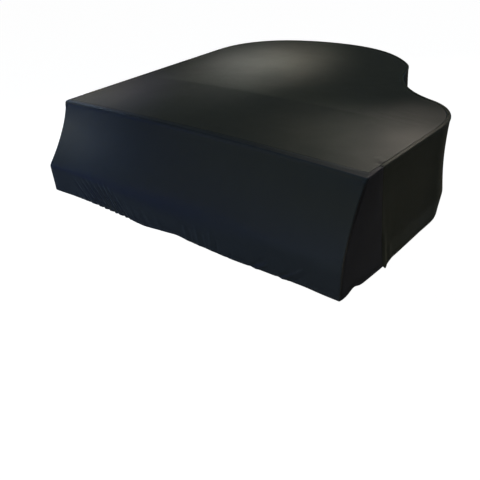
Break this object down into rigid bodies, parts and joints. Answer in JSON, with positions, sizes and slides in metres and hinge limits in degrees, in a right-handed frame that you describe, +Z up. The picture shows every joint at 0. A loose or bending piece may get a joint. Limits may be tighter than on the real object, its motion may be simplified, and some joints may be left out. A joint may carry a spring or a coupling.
{
  "type": "grand piano cover",
  "caption": "Fitted black stretch-cloth dust cover for a closed baby grand piano: harp-shaped top, sloping front, straight sides with the hem drawn in, open below.",
  "frame": {"origin": "under the top panel, on its inner face, midway between the bass and treble sides and 0.620 m behind the front edge of the piano's lid", "axes": "+X to the treble side, +Y back to the tail, +Z up"},
  "size_m": [1.49, 1.5451, 0.412],
  "materials": {
    "black_cloth": "smooth stretch knit with a soft sheen",
    "blue_black_cloth": "smooth stretch knit with a soft sheen"
  },
  "bodies": {
    "root": {"top_panel": "black_cloth", "front_panel": "blue_black_cloth", "cheek_panel_right": "blue_black_cloth", "cheek_panel_left": "blue_black_cloth", "side_panel": "black_cloth"}
  },
  "joints": []
}
